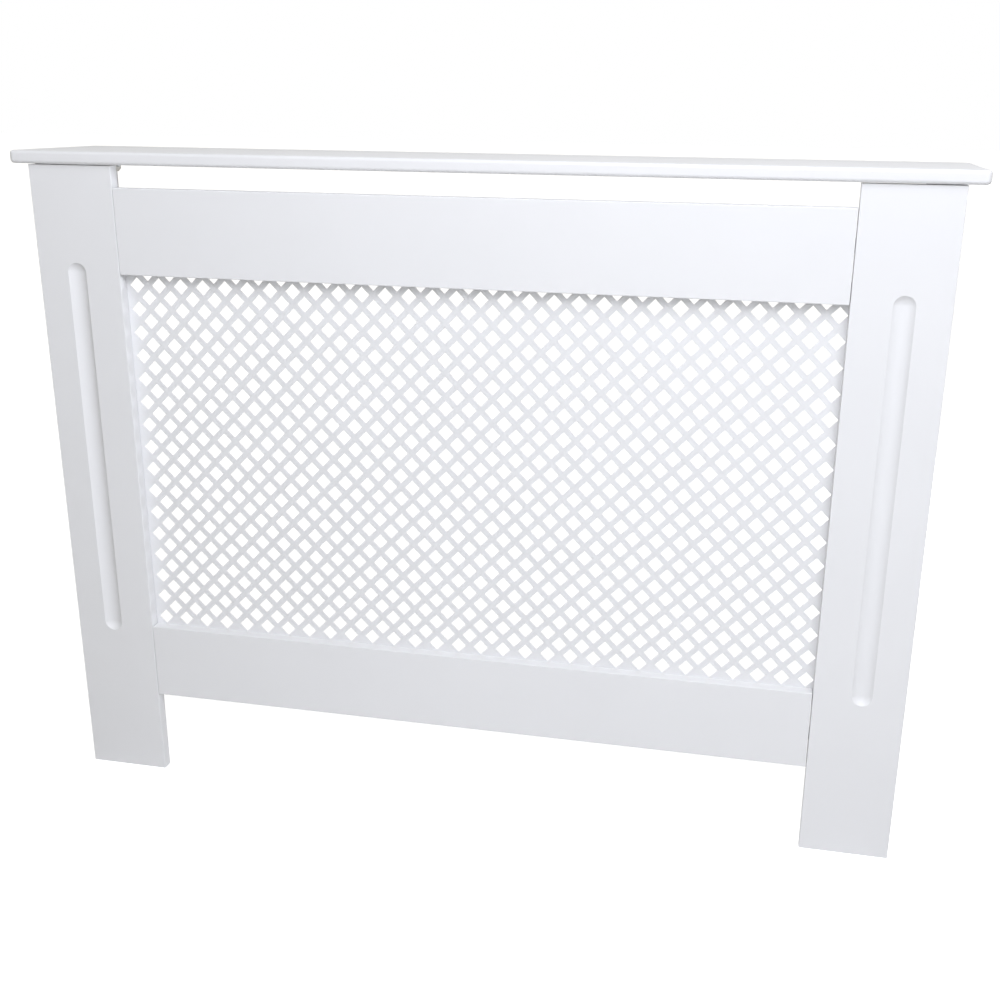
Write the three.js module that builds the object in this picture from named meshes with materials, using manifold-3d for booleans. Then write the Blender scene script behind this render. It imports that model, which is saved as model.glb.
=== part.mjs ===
// Radiator cover cabinet: a painted board front with a punched diamond grille, two side panels
// and a shelf, joined by plastic blocks, steel plates and screws.
//
// Millimetres, +Z up. x = 0 is the middle of the front, y = 0 the middle of the shelf's depth and
// z = 0 the floor. The front looks towards -Y and the wall is at +Y.

import * as THREE from 'three';
import { mergeGeometries, mergeVertices } from 'three/addons/utils/BufferGeometryUtils.js';
import Module from 'manifold-3d';

// Shelf
const shelfWidth = 1115;
const shelfDepth = 190;
const shelfThickness = 15;
const shelfEdgeRound = 4;       // front and side edges, above and below
const shelfCornerRound = 6;     // the two front corners, seen from above

// Body
const bodyWidth = 1072;
const bodyHeight = 800;         // floor to the shelf's underside
const frontOverhang = 5;        // shelf in front of the pilasters
const frontThickness = 15;      // pilasters and rails
const arrisRound = 1;           // eased edges of the front boards
const seatGap = 0.1;            // paint film between two bearing faces

// Pilasters, and the cove flute that a ball-nosed cutter leaves in each
const pilasterWidth = 107;
const fluteWidth = 24;
const fluteDepth = 5;
const fluteBottom = 202;
const fluteTop = 685;
const fluteOffset = 3;          // outwards from the pilaster's middle

// Rails
const topRailHeight = 101.5;
const bottomRailHeight = 99;
const airGap = 26;              // shelf to top rail, where the warm air leaves
const footGap = 113;            // floor to bottom rail, where the cool air enters

// Grille
const grilleThickness = 2.5;
const grilleLap = 22;           // how far the sheet runs behind the boards around it
const stripSpacing = 30;        // from strip to strip, square to the strips
const stripWidth = 9.75;
const holeMargin = 5.2;         // least distance from a hole's corner to the opening's edge
const grilleEdge = 10;          // least width left along the sheet's upper edge

// Side panels
const sideThickness = 12;
const skirtingHeight = 116;     // the notch at the foot of each panel, for a skirting board
const skirtingDepth = 26;
const notchRound = 4;           // in the notch's inner corner

// Plastic joint blocks
const blockSize = 16;
const blockLength = 34;
const blockChamfer = 4;
const blockHoleInset = 6.5;     // from the corner that the block fills to each screw
const blockHoleOffset = 8;      // from the block's middle to each screw
const cornerBlockInset = 90;    // from each end of the body's height to a corner block's middle
const shelfBlockInset = 35;     // from each end of a side panel's depth to a shelf block's middle

// Steel joining plates behind the rail joints
const plateLength = 60;
const plateWidth = 16;
const plateThickness = 2;
const plateHoleInset = 12;      // from the plate's end to its screw

// Wall brackets on the side panels, behind the top rail
const bracketPanelLeg = 32;
const bracketWallLeg = 30;
const bracketWidth = 20;
const bracketThickness = 2;
const bracketDrop = 95;         // shelf's underside to the bracket's middle
const bracketHoleInset = 7;     // from each end of the panel leg's flat to its screw
const wallHoleRadius = 2.5;

// Screws
const screwRadius = 1.75;
const screwHeadRadius = 3.6;
const screwHeadHeight = 2;
const screwTip = 2.5;
const screwClearance = 0.3;     // around the shank and below the tip
const screwBite = 6;            // length held in the last board
const grilleScrewBite = 5;

// Sides of the polygons that stand for round shapes
const screwSides = 8;
const wallHoleSides = 12;
const fluteCutterSides = 36;

// Places that follow from the sizes above
const bodyFront = -shelfDepth / 2 + frontOverhang;
const boardBack = bodyFront + frontThickness;
const wallPlane = shelfDepth / 2;
const openingHalf = bodyWidth / 2 - pilasterWidth;
const pilasterMiddle = bodyWidth / 2 - pilasterWidth / 2;
const sideInner = bodyWidth / 2 - sideThickness;
const sideFront = boardBack + seatGap;
const sideHeight = bodyHeight - seatGap;
const bracketHeight = bodyHeight - bracketDrop;
const topRailBottom = bodyHeight - airGap - topRailHeight;
const bottomRailTop = footGap + bottomRailHeight;
const grilleFront = boardBack + seatGap;
const grilleBack = grilleFront + grilleThickness;

const wasm = await Module();
wasm.setup();

const paint = new THREE.MeshStandardMaterial({ color: 0xf1f2f4, roughness: 0.45, metalness: 0 });
const plastic = new THREE.MeshStandardMaterial({ color: 0xe9e7e0, roughness: 0.5, metalness: 0 });
const zinc = new THREE.MeshStandardMaterial({ color: 0xc4c7ca, roughness: 0.35, metalness: 0.9 });

const up = new THREE.Vector3(0, 0, 1);
const toFront = new THREE.Vector3(0, -1, 0);

// A solid from a closed geometry: equal corners become one, and the slivers that a lathe or capsule
// leaves at its poles go.
function toSolid(geometry) {
  const bare = geometry.clone();
  bare.deleteAttribute('normal');
  bare.deleteAttribute('uv');
  const merged = mergeVertices(bare, 1e-5);
  const corners = merged.index.array;
  const triangles = [];
  for (let i = 0; i < corners.length; i += 3) {
    const [a, b, c] = corners.slice(i, i + 3);
    if (a !== b && b !== c && c !== a) {
      triangles.push(a, b, c);
    }
  }
  return new wasm.Manifold(new wasm.Mesh({
    numProp: 3,
    vertProperties: new Float32Array(merged.attributes.position.array),
    triVerts: new Uint32Array(triangles),
  }));
}

function toGeometry(solid) {
  const mesh = solid.getMesh();
  const geometry = new THREE.BufferGeometry();
  geometry.setAttribute('position', new THREE.BufferAttribute(mesh.vertProperties, 3));
  geometry.setIndex(new THREE.BufferAttribute(mesh.triVerts, 1));
  geometry.computeVertexNormals();
  return geometry;
}

function cut(geometry, cutters) {
  let solid = toSolid(geometry);
  for (const cutter of cutters) {
    solid = solid.subtract(toSolid(cutter));
  }
  return toGeometry(solid);
}

// A board's section, from its back corners to its rounded front corners. The section's first axis
// runs across the board and the second from its front face (0) to its back face.
function boardSection(width, thickness, round) {
  const half = width / 2;
  const section = new THREE.Shape();
  section.moveTo(half, thickness);
  section.lineTo(-half, thickness);
  section.absarc(-half + round, round, round, Math.PI, 1.5 * Math.PI, false);
  section.absarc(half - round, round, round, -Math.PI / 2, 0, false);
  section.closePath();
  return section;
}

function extrude(shape, depth, curveSegments) {
  return new THREE.ExtrudeGeometry(shape, { depth, bevelEnabled: false, steps: 1, curveSegments });
}

// Screws: each is stated once, and the pieces that it joins take their holes from it.
const screws = [];

function addScrew(name, seat, direction, shank, joins) {
  screws.push({ name, seat, direction, shank, joins });
}

function alongY(direction) {
  return new THREE.Quaternion().setFromUnitVectors(new THREE.Vector3(0, 1, 0), direction);
}

function screwHole(screw) {
  const length = screw.shank + screwClearance + screwHeadHeight;
  const hole = new THREE.CylinderGeometry(
    screwRadius + screwClearance, screwRadius + screwClearance, length, screwSides);
  hole.translate(0, length / 2 - screwHeadHeight, 0);
  hole.applyQuaternion(alongY(screw.direction));
  return hole.translate(screw.seat.x, screw.seat.y, screw.seat.z);
}

// A pan-head screw. Its profile turns about the shank's axis, from the top of the head (negative)
// past the seat (0) to the tip.
function screwMesh(screw) {
  const profile = [
    [0, -screwHeadHeight],
    [screwHeadRadius * 0.75, -screwHeadHeight * 0.85],
    [screwHeadRadius, 0],
    [screwRadius, 0],
    [screwRadius, screw.shank - screwTip],
    [0, screw.shank],
  ].map(([radius, along]) => new THREE.Vector2(radius, along));
  const mesh = new THREE.Mesh(new THREE.LatheGeometry(profile, screwSides), zinc);
  mesh.name = screw.name;
  mesh.quaternion.copy(alongY(screw.direction));
  mesh.position.copy(screw.seat).addScaledVector(screw.direction, -seatGap);
  return mesh;
}

const cabinet = new THREE.Group();

// Adds a piece to the cabinet with the holes of every screw that joins it.
function addPiece(name, geometry, material, position, rotation = new THREE.Euler()) {
  const mesh = new THREE.Mesh(geometry, material);
  mesh.name = name;
  mesh.position.copy(position);
  mesh.rotation.copy(rotation);
  mesh.updateMatrix();
  const toLocal = mesh.matrix.clone().invert();
  const holes = screws.filter((screw) => screw.joins.includes(name))
    .map((screw) => screwHole(screw).applyMatrix4(toLocal));
  if (holes.length > 0) {
    mesh.geometry = cut(geometry, holes);
  }
  cabinet.add(mesh);
}

// The shelf: a slab rounded over all round, then sawn square along the wall.
function shelfGeometry() {
  const half = shelfWidth / 2;
  const front = -shelfDepth / 2;
  const beyondWall = shelfDepth / 2 + shelfEdgeRound;
  const plan = new THREE.Shape();
  plan.moveTo(half, beyondWall);
  plan.lineTo(-half, beyondWall);
  plan.absarc(-half + shelfCornerRound, front + shelfCornerRound, shelfCornerRound,
    Math.PI, 1.5 * Math.PI, false);
  plan.absarc(half - shelfCornerRound, front + shelfCornerRound, shelfCornerRound,
    -Math.PI / 2, 0, false);
  plan.closePath();
  const slab = new THREE.ExtrudeGeometry(plan, {
    depth: shelfThickness - 2 * shelfEdgeRound,
    bevelThickness: shelfEdgeRound,
    bevelSize: shelfEdgeRound,
    bevelOffset: -shelfEdgeRound,
    bevelSegments: 3,
    curveSegments: 4,
  });
  slab.translate(0, 0, shelfEdgeRound);
  const saw = new THREE.BoxGeometry(shelfWidth * 2, shelfDepth, shelfThickness * 3);
  saw.translate(0, shelfDepth, 0);
  return cut(slab, [saw]);
}

// A pilaster standing on the floor, its front face at y = 0. The ball-nosed cutter leaves a capsule
// whose radius follows from the flute's width and depth.
function pilasterGeometry(sign) {
  const board = extrude(boardSection(pilasterWidth, frontThickness, arrisRound), sideHeight, 3);
  const cutterRadius = ((fluteWidth / 2) ** 2 + fluteDepth ** 2) / (2 * fluteDepth);
  const travel = fluteTop - fluteBottom - fluteWidth;
  const cutter = new THREE.CapsuleGeometry(cutterRadius, travel, 10, fluteCutterSides);
  cutter.rotateX(Math.PI / 2);
  cutter.translate(sign * fluteOffset, fluteDepth - cutterRadius, (fluteTop + fluteBottom) / 2);
  return cut(board, [cutter]);
}

// A side panel: a board that stands across the wall, drawn in the plane of y and z, with a notch at
// the foot of its back edge. Its thickness is centred on x = 0.
function sidePanelGeometry() {
  const notchFront = wallPlane - skirtingDepth;
  const panel = new THREE.Shape();
  panel.moveTo(sideFront, 0);
  panel.lineTo(notchFront, 0);
  panel.absarc(notchFront + notchRound, skirtingHeight - notchRound, notchRound,
    Math.PI, Math.PI / 2, true);
  panel.lineTo(wallPlane, skirtingHeight);
  panel.lineTo(wallPlane, sideHeight);
  panel.lineTo(sideFront, sideHeight);
  panel.closePath();
  const board = extrude(panel, sideThickness, 5).translate(0, 0, -sideThickness / 2);
  return board.applyMatrix4(new THREE.Matrix4().makeBasis(
    new THREE.Vector3(0, 1, 0), up, new THREE.Vector3(1, 0, 0)));
}

// A rail lying along x, its front face at y = 0 and its lower edge at z = 0.
function railGeometry(height) {
  const length = 2 * (openingHalf - seatGap);
  const rail = extrude(boardSection(height, frontThickness, arrisRound), length, 3);
  rail.translate(0, 0, -length / 2);
  rail.applyMatrix4(new THREE.Matrix4().makeBasis(
    up, new THREE.Vector3(0, 1, 0), new THREE.Vector3(-1, 0, 0)));
  return rail.translate(0, 0, height / 2);
}

// The grille: one sheet with square holes set on their corners. Along every second row the holes
// stand half a pitch aside, so that the strips left between them cross on the diagonal.
function grilleGeometry() {
  const halfPitch = stripSpacing / Math.SQRT2;
  const holeReach = (stripSpacing - stripWidth) / Math.SQRT2;
  const sheetHalf = openingHalf + grilleLap;
  const sheetBottom = bottomRailTop - grilleLap;
  const sheetTop = topRailBottom + grilleLap;
  const sheet = new THREE.BoxGeometry(2 * sheetHalf, grilleThickness, sheetTop - sheetBottom);
  sheet.translate(0, grilleThickness / 2, (sheetTop + sheetBottom) / 2);

  const lastColumn = Math.floor((openingHalf - holeMargin - holeReach) / halfPitch);
  const firstRow = bottomRailTop + holeMargin + holeReach;
  const lastRow = Math.floor((sheetTop - grilleEdge - holeReach - firstRow) / halfPitch);
  const holeSide = stripSpacing - stripWidth;
  const punches = [];
  for (let row = 0; row <= lastRow; row += 1) {
    const outermost = lastColumn - (row % 2);
    for (let column = -outermost; column <= outermost; column += 2) {
      const punch = new THREE.BoxGeometry(holeSide, 3 * grilleThickness, holeSide);
      punch.rotateY(Math.PI / 4);
      punches.push(punch.translate(column * halfPitch, 0, firstRow + row * halfPitch));
    }
  }
  return cut(sheet, [mergeGeometries(punches)]);
}

// A joint block in its corner: two faces bear on the boards at x = 0 and y = 0, the free corner is
// chamfered, and z runs along the block from its middle.
function blockGeometry() {
  const section = new THREE.Shape();
  section.moveTo(0, 0);
  section.lineTo(blockSize, 0);
  section.lineTo(blockSize, blockSize - blockChamfer);
  section.lineTo(blockSize - blockChamfer, blockSize);
  section.lineTo(0, blockSize);
  section.closePath();
  return extrude(section, blockLength, 1).translate(0, 0, -blockLength / 2);
}

// A flat plate along x with round ends, its bearing face at y = 0.
function plateGeometry() {
  const end = plateWidth / 2;
  const plate = new THREE.Shape();
  plate.absarc(plateLength / 2 - end, 0, end, -Math.PI / 2, Math.PI / 2, false);
  plate.absarc(-plateLength / 2 + end, 0, end, Math.PI / 2, 1.5 * Math.PI, false);
  plate.closePath();
  return extrude(plate, plateThickness, 6).rotateX(Math.PI / 2).translate(0, plateThickness, 0);
}

// An angle bracket seen from above: one leg forward on the side panel (its face is x = 0), one leg
// along the wall (its face is y = 0) towards -x, and z running across it from its middle.
function bracketGeometry() {
  const angle = new THREE.Shape();
  angle.moveTo(0, 0);
  angle.lineTo(-bracketWallLeg, 0);
  angle.lineTo(-bracketWallLeg, -bracketThickness);
  angle.lineTo(-2 * bracketThickness, -bracketThickness);
  angle.lineTo(-bracketThickness, -2 * bracketThickness);
  angle.lineTo(-bracketThickness, -bracketPanelLeg);
  angle.lineTo(0, -bracketPanelLeg);
  angle.closePath();
  const bracket = extrude(angle, bracketWidth, 1).translate(0, 0, -bracketWidth / 2);
  const wallHole = new THREE.CylinderGeometry(
    wallHoleRadius, wallHoleRadius, 4 * bracketThickness, wallHoleSides);
  wallHole.translate(-(bracketWallLeg + bracketThickness) / 2, 0, 0);
  return cut(bracket, [wallHole]);
}

const sides = [['left', -1], ['right', 1]];

// Where each joint block sits: its corner, and the two directions that its bearing faces look in.
const blocks = [];
for (const [side, sign] of sides) {
  const outward = new THREE.Vector3(sign, 0, 0);
  const heights = [['lower', cornerBlockInset], ['upper', bodyHeight - cornerBlockInset]];
  for (const [level, height] of heights) {
    blocks.push({
      name: `${side}_${level}_corner_block`,
      boards: [`${side}_side_panel`, `${side}_pilaster`],
      facing: [outward, toFront],
      corner: new THREE.Vector3(sign * (sideInner - seatGap), boardBack + seatGap, height),
    });
  }
  const depths = [['front', sideFront + shelfBlockInset], ['rear', wallPlane - shelfBlockInset]];
  for (const [place, depth] of depths) {
    blocks.push({
      name: `${side}_${place}_shelf_block`,
      boards: [`${side}_side_panel`, 'top_shelf'],
      facing: [outward, up],
      corner: new THREE.Vector3(sign * (sideInner - seatGap), depth, bodyHeight - seatGap),
    });
  }
}

// Two screws cross in each block, one into each board.
for (const block of blocks) {
  const [first, second] = block.facing;
  const length = new THREE.Vector3().crossVectors(first, second);
  const screwLength = blockSize + seatGap + screwBite;
  const aims = [[first, second, 1], [second, first, -1]];
  aims.forEach(([aim, other, shift], index) => {
    const seat = block.corner.clone()
      .addScaledVector(aim, -blockSize)
      .addScaledVector(other, -blockHoleInset)
      .addScaledVector(length, shift * blockHoleOffset);
    addScrew(`${block.name}_screw_${index + 1}`, seat, aim, screwLength,
      [block.name, block.boards[index]]);
  });
}

// The joining plates lie across the ends of both rails.
const rails = [
  ['top', topRailBottom, topRailHeight],
  ['bottom', footGap, bottomRailHeight],
];
const plates = [];
for (const [side, sign] of sides) {
  for (const [level, bottom, height] of rails) {
    const clearBottom = level === 'top' ? bottom + grilleLap : bottom;
    const middle = clearBottom + (height - grilleLap) / 2;
    const place = new THREE.Vector3(sign * openingHalf, boardBack + seatGap, middle);
    const name = `${side}_${level}_plate`;
    plates.push({ name, place });
    for (const [end, towards] of [['pilaster', sign], ['rail', -sign]]) {
      const seat = place.clone();
      seat.x += towards * (plateLength / 2 - plateHoleInset);
      seat.y += plateThickness;
      const board = end === 'pilaster' ? `${side}_pilaster` : `${level}_rail`;
      addScrew(`${name}_${end}_screw`, seat, toFront, plateThickness + seatGap + screwBite,
        [name, board]);
    }
  }
}

// The grille's own screws, through the middle of its hidden border.
const borderMiddle = grilleLap / 2;
const grilleHeight = topRailBottom - bottomRailTop;
for (const [side, sign] of sides) {
  const edgeX = sign * (openingHalf + borderMiddle);
  const quarterX = sign * openingHalf / 2;
  const places = [
    ['upper_side', edgeX, topRailBottom - grilleHeight / 4, `${side}_pilaster`],
    ['lower_side', edgeX, bottomRailTop + grilleHeight / 4, `${side}_pilaster`],
    ['top', quarterX, topRailBottom + grilleLap - grilleEdge / 2, 'top_rail'],
    ['bottom', quarterX, bottomRailTop - borderMiddle, 'bottom_rail'],
  ];
  for (const [edge, x, z, board] of places) {
    addScrew(`grille_${side}_${edge}_screw`, new THREE.Vector3(x, grilleBack, z), toFront,
      grilleThickness + seatGap + grilleScrewBite, ['grille_sheet', board]);
  }
}

// The wall brackets, each with two screws into its side panel.
const brackets = [];
for (const [side, sign] of sides) {
  const name = `${side}_wall_bracket`;
  const corner = new THREE.Vector3(sign * (sideInner - seatGap), wallPlane, bracketHeight);
  const turn = new THREE.Euler(0, sign > 0 ? 0 : Math.PI, 0);
  brackets.push({ name, corner, turn });
  const outward = new THREE.Vector3(sign, 0, 0);
  const depths = [
    ['front', wallPlane - bracketPanelLeg + bracketHoleInset],
    ['rear', wallPlane - 2 * bracketThickness - bracketHoleInset],
  ];
  for (const [place, depth] of depths) {
    const seat = new THREE.Vector3(
      sign * (sideInner - seatGap - bracketThickness), depth, bracketHeight);
    addScrew(`${name}_${place}_screw`, seat, outward, bracketThickness + seatGap + screwBite,
      [name, `${side}_side_panel`]);
  }
}

addPiece('top_shelf', shelfGeometry(), paint, new THREE.Vector3(0, 0, bodyHeight));
for (const [side, sign] of sides) {
  addPiece(`${side}_pilaster`, pilasterGeometry(sign), paint,
    new THREE.Vector3(sign * pilasterMiddle, bodyFront, 0));
  addPiece(`${side}_side_panel`, sidePanelGeometry(), paint,
    new THREE.Vector3(sign * (sideInner + sideThickness / 2), 0, 0));
}
for (const [level, bottom, height] of rails) {
  addPiece(`${level}_rail`, railGeometry(height), paint, new THREE.Vector3(0, bodyFront, bottom));
}
addPiece('grille_sheet', grilleGeometry(), paint, new THREE.Vector3(0, grilleFront, 0));

for (const block of blocks) {
  const [first, second] = block.facing.map((facing) => facing.clone().negate());
  const third = new THREE.Vector3().crossVectors(first, second);
  const turn = new THREE.Matrix4().makeBasis(first, second, third);
  addPiece(block.name, blockGeometry(), plastic, block.corner,
    new THREE.Euler().setFromRotationMatrix(turn));
}
for (const { name, place } of plates) {
  addPiece(name, plateGeometry(), zinc, place);
}
for (const { name, corner, turn } of brackets) {
  addPiece(name, bracketGeometry(), zinc, corner, turn);
}
for (const screw of screws) {
  cabinet.add(screwMesh(screw));
}

export default cabinet;
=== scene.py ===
# A radiator cover cabinet in white painted board: a shelf, two fluted pilasters, two rails, a
# punched diamond grille, two side panels, and the blocks, plates, brackets and screws behind them.
import math

import bmesh
import bpy
from mathutils import Matrix, Vector


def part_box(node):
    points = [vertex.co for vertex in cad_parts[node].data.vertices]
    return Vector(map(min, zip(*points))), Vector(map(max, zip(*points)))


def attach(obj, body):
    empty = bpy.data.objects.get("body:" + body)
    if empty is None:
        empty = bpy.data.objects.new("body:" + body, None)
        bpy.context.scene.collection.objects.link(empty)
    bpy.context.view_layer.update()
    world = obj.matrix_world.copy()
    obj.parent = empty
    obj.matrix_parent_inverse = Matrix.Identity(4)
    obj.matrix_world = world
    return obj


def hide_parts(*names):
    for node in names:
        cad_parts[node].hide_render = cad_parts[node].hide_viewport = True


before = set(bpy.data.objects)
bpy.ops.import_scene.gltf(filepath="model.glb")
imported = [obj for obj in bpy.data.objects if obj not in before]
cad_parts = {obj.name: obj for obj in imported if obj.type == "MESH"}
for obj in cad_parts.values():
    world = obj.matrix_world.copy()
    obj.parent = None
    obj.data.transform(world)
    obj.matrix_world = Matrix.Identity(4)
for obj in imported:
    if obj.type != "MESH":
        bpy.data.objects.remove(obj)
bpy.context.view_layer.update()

scene = bpy.context.scene
print("frame loaded:", len(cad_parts), "nodes")


# finishes

def startMaterial(name, values, metallic=0.0):
    material = bpy.data.materials.new(name)
    material.use_nodes = True
    material.diffuse_color = (*values["colour"], 1.0)
    tree = material.node_tree
    shader = tree.nodes["Principled BSDF"]
    shader.inputs["Base Color"].default_value = (*values["colour"], 1.0)
    shader.inputs["Roughness"].default_value = values["roughness"]
    shader.inputs["Metallic"].default_value = metallic
    place = tree.nodes.new("ShaderNodeTexCoord")
    return material, tree, shader, place.outputs["Object"]


def addNoise(tree, place, scale, detail, roughness):
    noise = tree.nodes.new("ShaderNodeTexNoise")
    noise.inputs["Scale"].default_value = scale
    noise.inputs["Detail"].default_value = detail
    noise.inputs["Roughness"].default_value = roughness
    tree.links.new(place, noise.inputs["Vector"])
    return noise.outputs["Fac"]


def addStretch(tree, place, stretch):
    mapping = tree.nodes.new("ShaderNodeMapping")
    mapping.inputs["Scale"].default_value = stretch
    tree.links.new(place, mapping.inputs["Vector"])
    return mapping.outputs["Vector"]


def addRange(tree, source, low, high, fromLow=0.3, fromHigh=0.7):
    # noise seldom leaves the middle of its range, so that middle is spread from low to high
    spread = tree.nodes.new("ShaderNodeMapRange")
    ends = {"From Min": fromLow, "From Max": fromHigh, "To Min": low, "To Max": high}
    for socket, value in ends.items():
        spread.inputs[socket].default_value = value
    tree.links.new(source, spread.inputs["Value"])
    return spread.outputs["Result"]


def addBlend(tree, factor, first, second):
    blend = tree.nodes.new("ShaderNodeMix")
    blend.data_type = "RGBA"
    blend.inputs["A"].default_value = (*first, 1.0)
    blend.inputs["B"].default_value = (*second, 1.0)
    tree.links.new(factor, blend.inputs["Factor"])
    return blend.outputs["Result"]


def addBump(tree, pattern, strength, height, under=None):
    bump = tree.nodes.new("ShaderNodeBump")
    bump.inputs["Strength"].default_value = strength
    bump.inputs["Distance"].default_value = height
    tree.links.new(pattern, bump.inputs["Height"])
    if under is not None:
        tree.links.new(under, bump.inputs["Normal"])
    return bump.outputs["Normal"]


def tintShader(tree, shader, share, values):
    tone = addBlend(tree, share, values["colour"], values["shade"])
    tree.links.new(tone, shader.inputs["Base Color"])


def varySheen(tree, shader, source, values):
    glossiest = values["roughness"] - values["glossier"]
    dullest = values["roughness"] + values["duller"]
    tree.links.new(addRange(tree, source, glossiest, dullest), shader.inputs["Roughness"])


def paintedBoard(name, values):
    # sprayed satin paint: a slow drift in tone, patches of more or less sheen, a fine orange peel
    # and a trace of the board's fibre
    material, tree, shader, place = startMaterial(name, values)
    drift = addNoise(tree, place, *values["drift"])
    tintShader(tree, shader, addRange(tree, drift, 0.0, 1.0), values)
    varySheen(tree, shader, addNoise(tree, place, *values["sheen"]), values)
    peel = addBump(tree, addNoise(tree, place, *values["peel"]), *values["peelBump"])
    fibre = addNoise(tree, place, *values["fibre"])
    surface = addBump(tree, fibre, *values["fibreBump"], under=peel)
    tree.links.new(surface, shader.inputs["Normal"])
    shader.inputs["IOR"].default_value = values["ior"]
    return material


# in the finishes, a pattern is scale, detail and roughness, and a bump is strength and height
boardPaint = {
    "colour": (0.852, 0.856, 0.866), "shade": (0.832, 0.836, 0.846), "drift": (5.0, 3.0, 0.5),
    "roughness": 0.44, "glossier": 0.05, "duller": 0.05, "sheen": (45.0, 4.0, 0.6), "ior": 1.46,
    "peel": (420.0, 2.0, 0.5), "peelBump": (0.25, 0.00012),
    "fibre": (2200.0, 3.0, 0.6), "fibreBump": (0.18, 0.00004),
}
# the boards' paint on the punched sheet, rougher and with more peel and fibre; its colour and shade are
# set a little darker as painted shade for the sheet that sits back behind the front boards
grillePaint = {
    **boardPaint, "colour": (0.838, 0.842, 0.852), "shade": (0.814, 0.818, 0.828),
    "drift": (9.0, 3.0, 0.5), "roughness": 0.5,
    "peelBump": (0.4, 0.00012), "fibreBump": (0.3, 0.00004),
}

boardFinish = paintedBoard("boardPaint", boardPaint)
grilleFinish = paintedBoard("grillePaint", grillePaint)


def mouldedPlastic(name, values):
    material, tree, shader, place = startMaterial(name, values)
    cloud = addNoise(tree, place, *values["cloud"])
    tintShader(tree, shader, addRange(tree, cloud, 0.0, 1.0), values)
    grain = addNoise(tree, place, *values["grain"])
    varySheen(tree, shader, grain, values)
    tree.links.new(addBump(tree, grain, *values["grainBump"]), shader.inputs["Normal"])
    shader.inputs["Subsurface Weight"].default_value = values["glow"]
    shader.inputs["Subsurface Radius"].default_value = values["glowReach"]
    shader.inputs["Subsurface Scale"].default_value = 1.0
    return material


jointPlastic = {
    "colour": (0.78, 0.765, 0.715), "shade": (0.74, 0.72, 0.665), "cloud": (90.0, 2.0, 0.5),
    "roughness": 0.46, "glossier": 0.06, "duller": 0.06,
    "grain": (2600.0, 3.0, 0.5), "grainBump": (0.35, 0.00005),
    "glow": 0.08, "glowReach": (0.004, 0.0035, 0.003),
}
plasticFinish = mouldedPlastic("jointPlastic", jointPlastic)


def platedSteel(name, values):
    # bright zinc over rolled steel: soft spangle, fine rolling lines and a trace of passivation colour
    material, tree, shader, place = startMaterial(name, values, metallic=1.0)
    spangle = tree.nodes.new("ShaderNodeTexVoronoi")
    spangle.inputs["Scale"].default_value = values["spangleScale"]
    tree.links.new(place, spangle.inputs["Vector"])
    share = addRange(tree, spangle.outputs["Distance"], 0.0, 1.0, *values["spangleRange"])
    tintShader(tree, shader, share, values)
    rolled = addStretch(tree, place, values["lineStretch"])
    lines = addNoise(tree, rolled, *values["lines"])
    varySheen(tree, shader, lines, values)
    tree.links.new(addBump(tree, lines, *values["lineBump"]), shader.inputs["Normal"])
    return material


zincPlate = {
    "colour": (0.62, 0.63, 0.645), "shade": (0.56, 0.575, 0.56),
    "spangleScale": 420.0, "spangleRange": (0.1, 0.8),
    "roughness": 0.34, "glossier": 0.08, "duller": 0.12,
    "lines": (1500.0, 3.0, 0.6), "lineStretch": (1.0, 1.0, 0.06), "lineBump": (0.35, 0.00003),
}
zincFinish = platedSteel("zincPlate", zincPlate)
print("finishes made")


# tools

upright = Matrix.Rotation(math.pi / 2, 4, "X")  # stands a shape drawn in xy upright, facing -y
sharpAngle = math.radians(38.0)                 # edges that turn more than this stay crisp
roundSides = 48                                 # around both round ends of a flute or a plate


def addPiece(bm, name, finish, nodes):
    bmesh.ops.recalc_face_normals(bm, faces=bm.faces[:])
    for face in bm.faces:
        face.smooth = True
    for edge in bm.edges:
        if len(edge.link_faces) == 2 and edge.calc_face_angle() > sharpAngle:
            edge.smooth = False
    mesh = bpy.data.meshes.new(name)
    bm.to_mesh(mesh)
    bm.free()
    mesh.materials.append(finish)
    piece = bpy.data.objects.new(name, mesh)
    scene.collection.objects.link(piece)
    weighted = piece.modifiers.new("flatFacesFirst", "WEIGHTED_NORMAL")
    weighted.keep_sharp = True
    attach(piece, "root")
    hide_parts(*nodes)


def startBox(low, high):
    bm = bmesh.new()
    size, middle = Vector(high) - Vector(low), (Vector(high) + Vector(low)) / 2
    stand = Matrix.Translation(middle) @ Matrix.Diagonal((*size, 1.0))
    bmesh.ops.create_cube(bm, size=1.0, matrix=stand)
    return bm


def roundEdges(bm, edges, radius, segments=3):
    bmesh.ops.bevel(
        bm, geom=list(edges), offset=radius, offset_type="OFFSET", segments=segments, profile=0.5,
        affect="EDGES", clamp_overlap=True, material=-1)


def roundCorners(bm, corners, radius, segments):
    # for a flat sheet, before it is thickened
    bmesh.ops.bevel(
        bm, geom=corners, offset=radius, offset_type="OFFSET", segments=segments, profile=0.5,
        affect="VERTICES", material=-1)


def onPlane(element, axis, value, reach=1e-6):
    return all(abs(vert.co[axis] - value) < reach for vert in element.verts)


def edgesOn(bm, axis, *planes):
    return [edge for edge in bm.edges if any(onPlane(edge, axis, plane) for plane in planes)]


def along(edge, axis, closeness=0.999):
    return abs((edge.verts[1].co - edge.verts[0].co).normalized()[axis]) > closeness


def easeBoard(bm, axis, low, high, values):
    # the long edges of a front board: the two that show, then the two behind
    for plane, name in ((low.y, "arris"), (high.y, "rearArris")):
        edges = [edge for edge in bm.edges if along(edge, axis) and onPlane(edge, 1, plane)]
        roundEdges(bm, edges, values[name], values[f"{name}Steps"])


def ringEdges(verts):
    # each edge once, and in the same order every time
    return list(dict.fromkeys(edge for vert in verts for edge in vert.link_edges))


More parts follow.
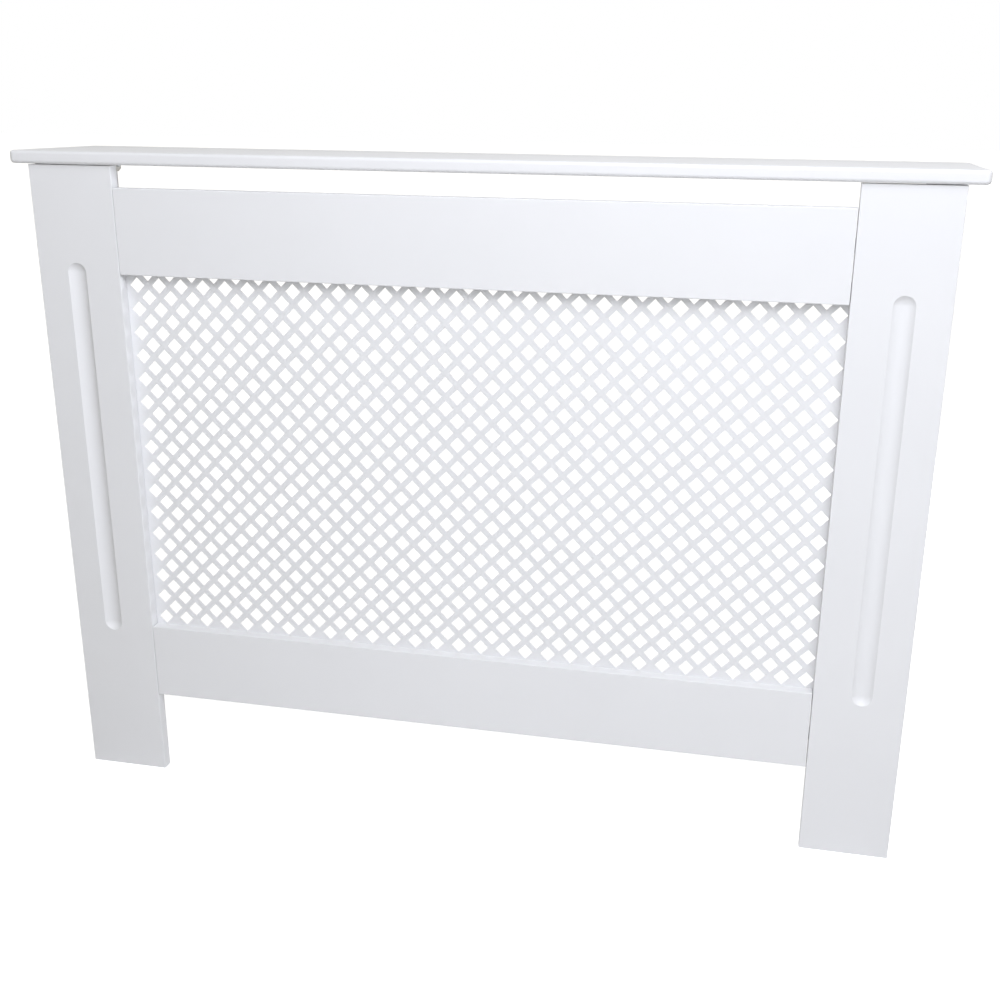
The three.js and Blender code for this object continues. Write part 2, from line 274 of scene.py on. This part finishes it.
def addStadium(bm, stand, radius, travel):
    # a ring with two round ends, drawn in its own xy plane and long along y
    spin = Matrix.Rotation(math.pi / roundSides, 4, "Z")
    ring = bmesh.ops.create_circle(bm, segments=roundSides, radius=radius, matrix=spin)["verts"]
    bmesh.ops.translate(bm, verts=[vert for vert in ring if vert.co.y > 0], vec=(0.0, travel, 0.0))
    bmesh.ops.transform(bm, matrix=stand, verts=ring)
    return ringEdges(ring)


def thicken(bm, travel):
    grown = bmesh.ops.extrude_face_region(bm, geom=bm.faces[:])["geom"]
    moved = [item for item in grown if isinstance(item, bmesh.types.BMVert)]
    bmesh.ops.translate(bm, verts=moved, vec=travel)


# shelf

shelf = {"edgeRound": 0.004, "cornerRound": 0.006, "steps": 6}


def makeShelf():
    low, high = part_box("top_shelf")
    bm = startBox(low, high)
    corners = [edge for edge in bm.edges if along(edge, 2) and onPlane(edge, 1, low.y)]
    roundEdges(bm, corners, shelf["cornerRound"], shelf["steps"])
    rims = [edge for edge in edgesOn(bm, 2, low.z, high.z) if not onPlane(edge, 1, high.y)]
    roundEdges(bm, rims, shelf["edgeRound"], shelf["steps"])
    addPiece(bm, "shelf_board", boardFinish, ["top_shelf"])


makeShelf()
print("shelf made")


# pilasters

pilaster = {
    "arris": 0.001, "arrisSteps": 4, "rearArris": 0.0015, "rearArrisSteps": 3,
    "topGap": 0.001,  # leaves the thin dark joint under the shelf
    "fluteWidth": 0.024, "fluteDepth": 0.005, "fluteBottom": 0.202, "fluteTop": 0.685,
    "fluteOffset": 0.003,  # outwards from the middle of the board
    "rimRound": 0.0007, "rimSteps": 4, "coveSteps": 12,
    "coveFloor": 0.0004,  # half of the narrow flat left along the bottom
}


def flutePath(values):
    # (half width, depth) pairs from the flat face over the eased rim and down the cove
    halfWidth, depth = values["fluteWidth"] / 2, values["fluteDepth"]
    cutter = (halfWidth ** 2 + depth ** 2) / (2 * depth)
    slope = math.asin(halfWidth / cutter)
    rim = values["rimRound"]
    start = halfWidth + rim * math.tan(slope / 2)
    path = []
    for step in range(values["rimSteps"] + 1):
        angle = slope * step / values["rimSteps"]
        path.append((start - rim * math.sin(angle), rim * (1 - math.cos(angle))))
    first = path[-1][0]
    for step in range(1, values["coveSteps"] + 1):
        width = first + (values["coveFloor"] - first) * step / values["coveSteps"]
        path.append((width, math.sqrt(cutter ** 2 - width ** 2) - cutter + depth))
    return path


def makePilaster(side):
    low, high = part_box(f"{side}_pilaster")
    high.z -= pilaster["topGap"]
    bm = startBox(low, high)
    easeBoard(bm, 2, low, high, pilaster)
    front = next(face for face in bm.faces if onPlane(face, 1, low.y))
    outline = list(front.edges)
    bmesh.ops.delete(bm, geom=[front], context="FACES_ONLY")

    path = flutePath(pilaster)
    halfWidth = pilaster["fluteWidth"] / 2
    travel = pilaster["fluteTop"] - pilaster["fluteBottom"] - 2 * halfWidth
    outward = pilaster["fluteOffset"] if side == "right" else -pilaster["fluteOffset"]
    lowerEnd = Vector(((low.x + high.x) / 2 + outward, low.y, pilaster["fluteBottom"] + halfWidth))
    upperEnd = lowerEnd + Vector((0.0, 0.0, travel))
    split = (lowerEnd.z + upperEnd.z) / 2
    ring = addStadium(bm, Matrix.Translation(lowerEnd) @ upright, path[0][0], travel)
    bmesh.ops.triangle_fill(bm, use_beauty=True, edges=outline + ring)
    for (width, depth), (nextWidth, nextDepth) in zip(path, path[1:]):
        grown = bmesh.ops.extrude_edge_only(bm, edges=ring)["geom"]
        ring = [item for item in grown if isinstance(item, bmesh.types.BMEdge)]
        verts = [item for item in grown if isinstance(item, bmesh.types.BMVert)]
        bmesh.ops.translate(bm, verts=verts, vec=(0.0, nextDepth - depth, 0.0))
        shrink = (nextWidth / width, 1.0, nextWidth / width)
        for end in (lowerEnd, upperEnd):
            half = [vert for vert in verts if (vert.co.z > split) == (end is upperEnd)]
            bmesh.ops.scale(bm, verts=half, vec=shrink, space=Matrix.Translation(-end))
    bmesh.ops.edgeloop_fill(bm, edges=ring)
    addPiece(bm, f"{side}_pilaster_board", boardFinish, [f"{side}_pilaster"])


for side in ("left", "right"):
    makePilaster(side)
print("pilasters made")


# rails

rail = {
    "arris": 0.001, "arrisSteps": 4, "rearArris": 0.0003, "rearArrisSteps": 2,
    "endArris": 0.0008, "endSteps": 2,
    "jointGap": 0.0006,  # leaves the thin dark joint at each pilaster
}


def makeRail(level):
    low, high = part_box(f"{level}_rail")
    low.x, high.x = low.x + rail["jointGap"], high.x - rail["jointGap"]
    bm = startBox(low, high)
    easeBoard(bm, 0, low, high, rail)
    roundEdges(bm, edgesOn(bm, 0, low.x, high.x), rail["endArris"], rail["endSteps"])
    addPiece(bm, f"{level}_rail_board", boardFinish, [f"{level}_rail"])


for level in ("top", "bottom"):
    makeRail(level)
print("rails made")


# side panels

sidePanel = {
    "skirtingHeight": 0.116, "skirtingDepth": 0.026, "notchRound": 0.004, "notchSteps": 8,
    "arris": 0.0006,
}


def makeSidePanel(side):
    low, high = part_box(f"{side}_side_panel")
    notchFront, notchTop = high.y - sidePanel["skirtingDepth"], sidePanel["skirtingHeight"]
    outline = [
        (low.y, low.z), (notchFront, low.z), (notchFront, notchTop),
        (high.y, notchTop), (high.y, high.z), (low.y, high.z)]
    bm = bmesh.new()
    verts = [bm.verts.new((low.x, y, z)) for y, z in outline]
    bm.faces.new(verts)
    roundCorners(bm, [verts[2]], sidePanel["notchRound"], sidePanel["notchSteps"])
    thicken(bm, (high.x - low.x, 0.0, 0.0))
    roundEdges(bm, edgesOn(bm, 0, low.x, high.x), sidePanel["arris"])
    addPiece(bm, f"{side}_side_board", boardFinish, [f"{side}_side_panel"])


for side in ("left", "right"):
    makeSidePanel(side)
print("side panels made")


# grille

grille = {
    "stripSpacing": 0.02036, "stripWidth": 0.0073,
    "rows": 32, "lowestRow": 0.2226,  # up to the middles of the lowest holes
    "outerColumn": 29, "middle": 0.0021,  # the lattice stands a little to the right
    "rowStretch": 1.0107,  # rows lie a little further apart than columns
    "rimRound": 0.0002, "rimSteps": 2,
    "rearChamfer": 0.0019, "rimTurn": 1.0,  # radians: faces turn more than this at a rim
    "weld": 1e-5,
}


def punchHoles(bm, y):
    # diamonds laid edge to edge, then shrunk to leave the strips between them
    halfPitch = grille["stripSpacing"] / math.sqrt(2)
    for row in range(grille["rows"]):
        reach = grille["outerColumn"] - row % 2
        for column in range(-reach, reach + 1, 2):
            x = grille["middle"] + column * halfPitch
            middle = Vector((x, y, grille["lowestRow"] + row * halfPitch))
            bmesh.ops.create_circle(
                bm, cap_ends=True, segments=4, radius=halfPitch,
                matrix=Matrix.Translation(middle) @ upright)
    bmesh.ops.remove_doubles(bm, verts=bm.verts[:], dist=grille["weld"])
    holes = bm.faces[:]
    bmesh.ops.inset_individual(bm, faces=holes, thickness=grille["stripWidth"] / 2, use_even_offset=True)
    outerEdges = [edge for edge in bm.edges if len(edge.link_faces) == 1]
    bmesh.ops.delete(bm, geom=holes, context="FACES_ONLY")
    below = Matrix.Translation((0.0, 0.0, -grille["lowestRow"]))
    bmesh.ops.scale(bm, verts=bm.verts[:], vec=(1.0, 1.0, grille["rowStretch"]), space=below)
    return outerEdges


def makeGrille():
    low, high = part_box("grille_sheet")
    bm = bmesh.new()
    outerEdges = punchHoles(bm, low.y)
    outline = ((low.x, low.z), (high.x, low.z), (high.x, high.z), (low.x, high.z))
    corners = [bm.verts.new((x, low.y, z)) for x, z in outline]
    border = [bm.edges.new(pair) for pair in zip(corners, corners[1:] + corners[:1])]
    bmesh.ops.triangle_fill(bm, use_beauty=True, edges=outerEdges + border)
    thicken(bm, (0.0, high.y - low.y, 0.0))
    bmesh.ops.recalc_face_normals(bm, faces=bm.faces[:])
    for plane, radius, steps in (
            (low.y, grille["rimRound"], grille["rimSteps"]), (high.y, grille["rearChamfer"], 1)):
        rims = [edge for edge in edgesOn(bm, 1, plane) if edge.calc_face_angle(0.0) > grille["rimTurn"]]
        roundEdges(bm, rims, radius, steps)
    addPiece(bm, "grille_lattice", grilleFinish, ["grille_sheet"])


makeGrille()
print("grille made")


# joint blocks

jointBlock = {"chamfer": 0.004, "edgeRound": 0.0008}


def makeBlock(node, lengthAxis, freeSide):
    # freeSide gives, for each axis across the length, whether the free corner is at its high end
    low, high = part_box(node)
    bm = startBox(low, high)
    free = [edge for edge in bm.edges if along(edge, lengthAxis)]
    for axis, isHigh in freeSide.items():
        plane = high[axis] if isHigh else low[axis]
        free = [edge for edge in free if onPlane(edge, axis, plane)]
    roundEdges(bm, free, jointBlock["chamfer"], 1)
    roundEdges(bm, bm.edges[:], jointBlock["edgeRound"])
    addPiece(bm, f"{node}_moulding", plasticFinish, [node])


for side, inward in (("left", True), ("right", False)):
    for level in ("lower", "upper"):
        makeBlock(f"{side}_{level}_corner_block", 2, {0: inward, 1: True})
    for place in ("front", "rear"):
        makeBlock(f"{side}_{place}_shelf_block", 1, {0: inward, 2: False})
print("joint blocks made")


# joining plates

joiningPlate = {"edgeRound": 0.0004, "edgeSteps": 2}


def makePlate(node):
    low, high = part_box(node)
    bm = bmesh.new()
    end = (high.z - low.z) / 2
    travel = high.x - low.x - 2 * end
    turn = upright @ Matrix.Rotation(-math.pi / 2, 4, "Z")
    stand = Matrix.Translation((low.x + end, low.y, low.z + end)) @ turn
    # the ring's flats, not its corners, touch the ends of the box
    ring = addStadium(bm, stand, end / math.cos(math.pi / roundSides), travel)
    bmesh.ops.edgeloop_fill(bm, edges=ring)
    thicken(bm, (0.0, high.y - low.y, 0.0))
    roundEdges(bm, edgesOn(bm, 1, low.y, high.y), joiningPlate["edgeRound"], joiningPlate["edgeSteps"])
    addPiece(bm, f"{node}_pressing", zincFinish, [node])


for side in ("left", "right"):
    for level in ("top", "bottom"):
        makePlate(f"{side}_{level}_plate")
print("joining plates made")


# wall brackets

wallBracket = {
    "thickness": 0.002, "bendRound": 0.0015, "cornerRound": 0.0035, "roundSteps": 5,
    "holeRadius": 0.0025, "holeSides": 24,
}


def makeBracket(side):
    # the inside faces of both legs, drawn for the right-hand bracket and mirrored for the left
    node = f"{side}_wall_bracket"
    low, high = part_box(node)
    thick, width = wallBracket["thickness"], high.x - low.x
    outer = max(abs(low.x), abs(high.x))
    inner, wall, steps = outer - thick, high.y - thick, wallBracket["roundSteps"]
    bm = bmesh.new()
    verts = [bm.verts.new((x, y, z)) for x, y, z in (
        (inner, low.y, low.z), (inner, low.y, high.z), (inner, wall, low.z), (inner, wall, high.z),
        (outer - width, wall, low.z), (outer - width, wall, high.z))]
    bm.faces.new((verts[0], verts[1], verts[3], verts[2]))
    bm.faces.new((verts[2], verts[3], verts[5], verts[4]))
    bmesh.ops.recalc_face_normals(bm, faces=bm.faces[:])
    roundCorners(bm, [verts[0], verts[1], verts[4], verts[5]], wallBracket["cornerRound"], steps)

    wallLeg = next(face for face in bm.faces if onPlane(face, 1, wall))
    outline = list(wallLeg.edges)
    bmesh.ops.delete(bm, geom=[wallLeg], context="FACES_ONLY")
    middle = Vector((outer - (width + thick) / 2, wall, (low.z + high.z) / 2))
    hole = bmesh.ops.create_circle(
        bm, segments=wallBracket["holeSides"], radius=wallBracket["holeRadius"],
        matrix=Matrix.Translation(middle) @ upright)["verts"]
    bmesh.ops.triangle_fill(bm, use_beauty=True, edges=outline + ringEdges(hole))
    bend = [edge for edge in edgesOn(bm, 0, inner) if along(edge, 2) and onPlane(edge, 1, wall)]
    roundEdges(bm, bend, wallBracket["bendRound"], steps)
    bmesh.ops.recalc_face_normals(bm, faces=bm.faces[:])
    # the sheet thickens away from the inside of the bend
    sideLeg = next(face for face in bm.faces if onPlane(face, 0, inner))
    facesIn = sideLeg.normal.x < 0
    bmesh.ops.solidify(bm, geom=bm.faces[:], thickness=thick if facesIn else -thick)
    if side == "left":
        bmesh.ops.scale(bm, verts=bm.verts[:], vec=(-1.0, 1.0, 1.0))
    addPiece(bm, f"{node}_pressing", zincFinish, [node])


for side in ("left", "right"):
    makeBracket(side)
print("wall brackets made")


# screws

screw = {
    "headRadius": 0.0036, "headHeight": 0.0020, "domeSteps": 6,
    "domeShare": 0.85,  # of the head's height, the rest is its rim
    "rimShare": 0.97,  # of the head's radius, where it meets the board
    "crownShare": 1.25,  # the flat crown's radius, in reaches of the cross
    "shankRadius": 0.00175, "tip": 0.0025, "sides": 24,
    "crossReach": 0.0019, "crossHalf": 0.00042, "crossDepth": 0.0012, "crossTaper": 0.5,
    "weld": 1e-6,
}


def screwProfile(length):
    # (radius, depth) pairs from the rim of the flat crown to the point
    headRadius, headHeight, shank = screw["headRadius"], screw["headHeight"], screw["shankRadius"]
    crown = screw["crossReach"] * screw["crownShare"]
    dome = headHeight * screw["domeShare"]
    profile = [(crown, 0.0)]
    for step in range(1, screw["domeSteps"] + 1):
        angle = math.pi / 2 * step / screw["domeSteps"]
        profile.append((crown + (headRadius - crown) * math.sin(angle), dome * (1 - math.cos(angle))))
    return profile + [
        (headRadius * screw["rimShare"], headHeight), (shank, headHeight),
        (shank, length - screw["tip"]), (0.0, length)]


def cutCross(bm, crownEdges):
    # a cross recess in the crown, tapering to its floor
    reach, half, taper = screw["crossReach"], screw["crossHalf"], screw["crossTaper"]
    cross = []
    for turn in range(4):
        spin = Matrix.Rotation(turn * math.pi / 2, 2)
        for point in ((half, half), (half, reach), (-half, reach)):
            cross.append(bm.verts.new((*(spin @ Vector(point)), 0.0)))
    ring = [bm.edges.new(pair) for pair in zip(cross, cross[1:] + cross[:1])]
    bmesh.ops.triangle_fill(bm, use_beauty=True, edges=crownEdges + ring)
    grown = bmesh.ops.extrude_edge_only(bm, edges=ring)["geom"]
    floorVerts = [item for item in grown if isinstance(item, bmesh.types.BMVert)]
    floorEdges = [item for item in grown if isinstance(item, bmesh.types.BMEdge)]
    bmesh.ops.translate(bm, verts=floorVerts, vec=(0.0, 0.0, screw["crossDepth"]))
    bmesh.ops.scale(bm, verts=floorVerts, vec=(taper, taper, 1.0))
    bmesh.ops.edgeloop_fill(bm, edges=floorEdges)


def makeScrew(node, aim):
    # turned about z from the top of its head, then laid along aim, the way it is driven
    low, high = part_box(node)
    aim = Vector(aim)
    length = abs((high - low).dot(aim))
    headTop = (low + high) / 2 - aim * length / 2
    bm = bmesh.new()
    verts = [bm.verts.new((radius, 0.0, depth)) for radius, depth in screwProfile(length)]
    edges = [bm.edges.new(pair) for pair in zip(verts, verts[1:])]
    bmesh.ops.spin(
        bm, geom=verts + edges, axis=(0, 0, 1), cent=(0, 0, 0), angle=2 * math.pi,
        steps=screw["sides"], use_merge=True)
    bmesh.ops.remove_doubles(bm, verts=bm.verts[:], dist=screw["weld"])
    cutCross(bm, edgesOn(bm, 2, 0.0))
    stand = Matrix.Translation(headTop) @ aim.to_track_quat("Z", "Y").to_matrix().to_4x4()
    bmesh.ops.transform(bm, matrix=stand, verts=bm.verts[:])
    addPiece(bm, f"{node}_turned", zincFinish, [node])


forward, up = (0, -1, 0), (0, 0, 1)
blockScrews = {"lower_corner": forward, "upper_corner": forward, "front_shelf": up, "rear_shelf": up}
for side, outward in (("left", (-1, 0, 0)), ("right", (1, 0, 0))):
    for block, second in blockScrews.items():
        makeScrew(f"{side}_{block}_block_screw_1", outward)
        makeScrew(f"{side}_{block}_block_screw_2", second)
    for level in ("top", "bottom"):
        for board in ("pilaster", "rail"):
            makeScrew(f"{side}_{level}_plate_{board}_screw", forward)
    for edge in ("upper_side", "lower_side", "top", "bottom"):
        makeScrew(f"grille_{side}_{edge}_screw", forward)
    for place in ("front", "rear"):
        makeScrew(f"{side}_wall_bracket_{place}_screw", outward)
print("screws made")


# floor, light and camera

studio = {
    "floorColour": (0.80, 0.80, 0.80), "floorSize": 60.0,
    "nearLift": 0.82, "nearReach": 0.8, "farLift": 0.96, "farReach": 2.5,
    "skyColour": (0.216, 0.202, 0.166), "lampColour": (0.898, 0.922, 1.0),
    "lamps": {  # place, aim, size, watts
        "upperLamp": ((0.67, -1.35, 2.25), (0.06, 0.0, 0.45), 1.5, 34.0),
        "lowerLamp": ((0.67, -1.45, 1.50), (0.06, 0.0, 0.45), 1.1, 6.8),
        "frontLamp": ((0.10, -2.00, 1.30), (0.0, 0.0, 0.45), 1.1, 7.7),
        "rearLamp": ((1.20, 1.60, 0.40), (-0.20, 0.0, 0.38), 0.78, 13.0),
    },
}


def addMaths(tree, operation, first, second):
    sums = tree.nodes.new("ShaderNodeMath")
    sums.operation = operation
    tree.links.new(first, sums.inputs[0])
    tree.links.new(second, sums.inputs[1])
    return sums.outputs[0]


def makePaper():
    # matt paper that the camera sees lifted to white. The lamps reach it less far from the object,
    # so the lift grows outwards
    material = bpy.data.materials.new("floorPaper")
    material.use_nodes = True
    tree = material.node_tree
    tree.nodes.clear()
    paper = tree.nodes.new("ShaderNodeBsdfDiffuse")
    paper.inputs["Color"].default_value = (*studio["floorColour"], 1.0)
    place = tree.nodes.new("ShaderNodeTexCoord")
    reach = tree.nodes.new("ShaderNodeVectorMath")
    reach.operation = "LENGTH"
    tree.links.new(place.outputs["Object"], reach.inputs[0])
    amount = addRange(
        tree, reach.outputs["Value"], studio["nearLift"], studio["farLift"],
        studio["nearReach"], studio["farReach"])
    rays = tree.nodes.new("ShaderNodeLightPath")
    seen = addMaths(tree, "MULTIPLY", rays.outputs["Is Camera Ray"], amount)
    lift = tree.nodes.new("ShaderNodeEmission")
    tree.links.new(seen, lift.inputs["Strength"])
    both = tree.nodes.new("ShaderNodeAddShader")
    tree.links.new(paper.outputs[0], both.inputs[0])
    tree.links.new(lift.outputs[0], both.inputs[1])
    output = tree.nodes.new("ShaderNodeOutputMaterial")
    tree.links.new(both.outputs[0], output.inputs["Surface"])
    return material


def makeFloor():
    bm = bmesh.new()
    bmesh.ops.create_grid(bm, x_segments=1, y_segments=1, size=studio["floorSize"] / 2)
    mesh = bpy.data.meshes.new("floor")
    bm.to_mesh(mesh)
    bm.free()
    mesh.materials.append(makePaper())
    floor = bpy.data.objects.new("floor", mesh)
    scene.collection.objects.link(floor)


def makeSky():
    # white to the camera and in reflections, and a dim even light on everything else
    world = bpy.data.worlds.new("studioSky")
    scene.world = world
    world.use_nodes = True
    tree = world.node_tree
    rays = tree.nodes.new("ShaderNodeLightPath")
    white = rays.outputs["Is Camera Ray"]
    for name in ("Is Glossy Ray", "Is Transmission Ray"):
        white = addMaths(tree, "MAXIMUM", white, rays.outputs[name])
    colour = addBlend(tree, white, studio["skyColour"], (1.0, 1.0, 1.0))
    tree.links.new(colour, tree.nodes["Background"].inputs["Color"])


def addLamp(name, place, aim, size, watts):
    lamp = bpy.data.lights.new(name, "AREA")
    lamp.shape = "SQUARE"
    lamp.size = size
    lamp.energy = watts
    lamp.color = studio["lampColour"]
    holder = bpy.data.objects.new(name, lamp)
    holder.location = place
    holder.rotation_euler = (Vector(aim) - Vector(place)).to_track_quat("-Z", "Y").to_euler()
    scene.collection.objects.link(holder)


makeFloor()
makeSky()
for name, lamp in studio["lamps"].items():
    addLamp(name, *lamp)
print("stage and lamps made")

view = {
    "place": (0.3730, -1.4876, 0.8712), "turnDegrees": (70.910, -0.635, 12.259),
    "lens": 45.14, "sensor": 36.0, "shift": (-0.0246, 0.0397),
}
camera = bpy.data.objects.new("camera", bpy.data.cameras.new("camera"))
camera.location = view["place"]
camera.rotation_euler = [math.radians(turn) for turn in view["turnDegrees"]]
camera.data.lens = view["lens"]
camera.data.sensor_width = view["sensor"]
camera.data.shift_x, camera.data.shift_y = view["shift"]
scene.collection.objects.link(camera)
scene.camera = camera
scene.view_settings.view_transform = "Standard"
